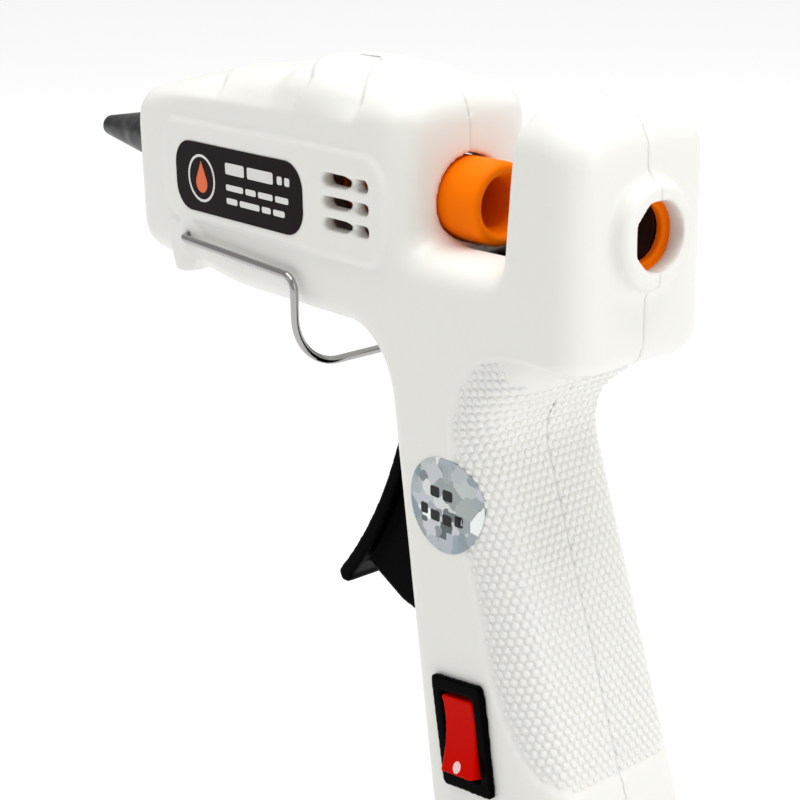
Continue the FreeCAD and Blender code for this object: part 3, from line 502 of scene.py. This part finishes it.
def bar(x0, z0, x1, z1, radius=0.3):
    """Outline of a bar with rounded corners."""
    radius = min(radius, (x1 - x0) / 2, (z1 - z0) / 2)
    path = []
    for cx, cz, first in ((x1 - radius, z0 + radius, 270), (x1 - radius, z1 - radius, 0),
                          (x0 + radius, z1 - radius, 90), (x0 + radius, z0 + radius, 180)):
        for k in range(4):
            turn = math.radians(first + 30 * k)
            path.append((cx + radius * math.cos(turn), cz + radius * math.sin(turn)))
    return path


def ring_parts(cx, cz, outer, inner, count=40):
    """A flat ring as a row of small four-sided parts."""
    parts = []
    for k in range(count):
        a, b = 2 * math.pi * k / count, 2 * math.pi * (k + 1) / count
        parts.append([(cx + outer * math.cos(a), cz + outer * math.sin(a)),
                      (cx + outer * math.cos(b), cz + outer * math.sin(b)),
                      (cx + inner * math.cos(b), cz + inner * math.sin(b)),
                      (cx + inner * math.cos(a), cz + inner * math.sin(a))])
    return parts


label_level = outer_level("label_plate", OUT_LEFT)
lines = [bar(-73.4, -0.2, -68.6, 1.5), bar(-67.8, -0.2, -61.4, 1.5), bar(-60.4, 0.0, -59.2, 1.2),
         bar(-58.6, 0.0, -57.4, 1.2)]
lines += [bar(x, -2.6, x + w, -1.7) for x, w in ((-73.4, 4.4), (-68.4, 2.6), (-65.2, 3.6), (-61.0, 3.2))]
lines += [bar(x, -4.6, x + w, -3.7) for x, w in ((-73.4, 2.8), (-70.0, 5.0), (-64.4, 2.2), (-61.6, 2.8))]
plate("label_lines", lines, label_level, OUT_LEFT, PRINT_WHITE)
plate("label_ring", ring_parts(*RING_AT, 3.6, 3.2), label_level, OUT_LEFT, PRINT_WHITE)
drop_x, drop_z, drop_radius = RING_AT[0], RING_AT[1] - 0.7, 1.5
drop = [(drop_x + drop_radius * math.sin(math.radians(a)), drop_z - drop_radius * math.cos(math.radians(a)))
        for a in range(-120, 121, 20)] + [(drop_x, drop_z + 3.3)]
plate("label_drop", [drop], label_level, OUT_LEFT, PRINT_ORANGE)


def draped(name, outline, lift, thick, material):
    """A thin film with the given outline in side view, laid on the left side of the housing."""
    middle = np.mean(outline, axis=0)
    shares = (0.0, 0.25, 0.5, 0.7, 0.85, 0.95, 1.0)
    count = len(outline)
    top, under = [], []
    for share in shares:
        for corner in outline[:1] if share == 0.0 else outline:
            x, z = middle + share * (np.array(corner) - middle)
            spot, normal, _, _ = whole.ray_cast(Vector((x, -30.0, z)), Vector((0, 1, 0)))
            over_beads = 0.3 * float(step(depth_inside(np.array([x]), np.array([z]), GRIP)[0], -0.6, 1.0))
            top.append((spot + normal * (lift + thick + over_beads)) * MM)
            under.append((spot + normal * (lift - 0.1)) * MM)
    faces = []
    for offset, flip in ((0, False), (len(top), True)):
        rings = [[offset] * count] + [[offset + 1 + level * count + k for k in range(count)]
                                      for level in range(len(shares) - 1)]
        for inner, outer in zip(rings, rings[1:]):
            for k in range(count):
                face = [inner[k], outer[k], outer[(k + 1) % count], inner[(k + 1) % count]]
                face = face[:3] if inner[0] == inner[1] else face
                faces.append(face[::-1] if flip else face)
        rim = rings[-1]
    last = len(top)
    for k in range(count):
        a, b = rim[k], rim[(k + 1) % count]
        faces.append([a, b, b - last, a - last])
    mesh = bpy.data.meshes.new(name)
    mesh.from_pydata(top + under, [], faces)
    mesh.update()
    piece = add_piece(name, mesh, material, "housing", smooth=False)
    return piece


def arc_points(cx, cz, radius, count):
    """Points evenly round a circle."""
    return [(cx + radius * math.cos(2 * math.pi * k / count), cz + radius * math.sin(2 * math.pi * k / count))
            for k in range(count)]


film = draped("inspection_film", arc_points(*FILM_AT, FILM_RADIUS, 64), 0.02, 0.06, PAINT["silver_film"])
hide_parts("inspection_sticker")
for k, (x, z, half) in enumerate(((-27.4, -37.0, 0.9), (-24.9, -37.0, 0.9), (-29.6, -39.9, 0.7),
                                  (-27.4, -40.4, 0.9), (-25.0, -40.5, 0.9), (-22.8, -40.1, 0.7))):
    draped("film_bar_%d" % k, bar(x - half, z - 0.75, x + half, z + 0.75), 0.09, 0.03, PRINT_DARK)


def rocker_mark():
    """A pale round dot let into the raised end of the rocker."""
    mesh = bpy.data.meshes.new("rocker_dot")
    rocker = tree_of([bpy.data.objects["switch_rocker_moulding"].data])
    spot, normal, _, _ = rocker.ray_cast(Vector((-21.0, -30.0, -75.0)), Vector((0, 1, 0)))
    across = normal.cross(Vector((0, 0, 1))).normalized()
    other = normal.cross(across)
    corners, faces = [], []
    for height, radius in ((-0.2, 0.75), (0.02, 0.75), (0.06, 0.66)):
        for k in range(24):
            turn = 2 * math.pi * k / 24
            side = radius * (math.cos(turn) * across + 1.15 * math.sin(turn) * other)
            corners.append((spot + side + height * normal) * MM)
    for level in range(2):
        for k in range(24):
            a, b = level * 24 + k, level * 24 + (k + 1) % 24
            faces.append((a, b, b + 24, a + 24))
    faces.append(tuple(range(48, 72)))
    faces.append(tuple(range(23, -1, -1)))
    mesh.from_pydata(corners, [], faces)
    mesh.update()
    return add_piece("rocker_dot", mesh, MARK_PALE, "rocker", smooth=False)


rocker_mark()


# ---- floor, light and camera ---------------------------------------------------------------------

floor_mesh = bpy.data.meshes.new("floor")
low = cad_box[0][2] - 0.4 * MM
floor_mesh.from_pydata([(-4, -4, low), (4, -4, low), (4, 4, low), (-4, 4, low)], [], [(0, 1, 2, 3)])
floor = bpy.data.objects.new("floor", floor_mesh)
bpy.context.scene.collection.objects.link(floor)
floor_paint = bpy.data.materials.new("floor_white")
floor_paint.use_nodes = True
floor_shader = floor_paint.node_tree.nodes["Principled BSDF"]
floor_shader.inputs["Base Color"].default_value = (0.25, 0.25, 0.25, 1.0)
floor_shader.inputs["Roughness"].default_value = 0.9
floor_shader.inputs["Specular IOR Level"].default_value = 0.0
floor_shader.inputs["Emission Color"].default_value = (1.0, 1.0, 1.0, 1.0)
floor_shader.inputs["Emission Strength"].default_value = 0.8
floor_mesh.materials.append(floor_paint)

world = bpy.data.worlds.new("studio")
world.use_nodes = True
world.node_tree.nodes["Background"].inputs["Color"].default_value = (1.0, 1.0, 1.0, 1.0)
world.node_tree.nodes["Background"].inputs["Strength"].default_value = 0.46
bpy.context.scene.world = world


def lamp(name, place, aim, size, power):
    """A rectangular lamp turned towards a point."""
    data = bpy.data.lights.new(name, "AREA")
    data.shape = "RECTANGLE"
    data.size, data.size_y = size
    data.energy = power
    light = bpy.data.objects.new(name, data)
    light.location = place
    light.rotation_euler = (Vector(aim) - Vector(place)).to_track_quat("-Z", "Y").to_euler()
    bpy.context.scene.collection.objects.link(light)


lamp("top_light", (-0.05, 0.05, 0.75), (-0.05, 0.0, -0.03), (0.7, 0.7), 6.6)
lamp("rear_light", (0.75, 0.1, 0.25), (-0.02, 0.0, -0.03), (0.5, 0.6), 2.0)
lamp("side_light", (-0.25, -0.75, 0.35), (-0.05, 0.0, -0.02), (0.4, 0.4), 0.25)

AZIMUTH, ELEVATION, ROLL = math.radians(49.994), math.radians(17.824), math.radians(1.058)
LOOK_AT = Vector((-0.049333, 0.0, -0.032096))
DISTANCE = 0.254547
SENSOR = 36.0
FOCAL_WIDTHS = 2.17465      # focal length over the picture's width

towards = Vector((math.sin(AZIMUTH) * math.cos(ELEVATION), -math.cos(AZIMUTH) * math.cos(ELEVATION),
                  math.sin(ELEVATION)))
level_right = Vector((math.cos(AZIMUTH), math.sin(AZIMUTH), 0))
level_up = towards.cross(level_right)
right = level_right * math.cos(ROLL) - level_up * math.sin(ROLL)
up = level_right * math.sin(ROLL) + level_up * math.cos(ROLL)
camera_data = bpy.data.cameras.new("camera")
camera_data.sensor_width = SENSOR
camera_data.lens = FOCAL_WIDTHS * SENSOR
camera_data.clip_start = 0.01
camera = bpy.data.objects.new("camera", camera_data)
turn = Matrix((right, up, towards)).transposed().to_4x4()
centre = LOOK_AT + DISTANCE * towards
camera.matrix_world = Matrix.Translation(centre) @ turn
bpy.context.scene.collection.objects.link(camera)
bpy.context.scene.camera = camera
bpy.context.scene.view_settings.view_transform = "Standard"
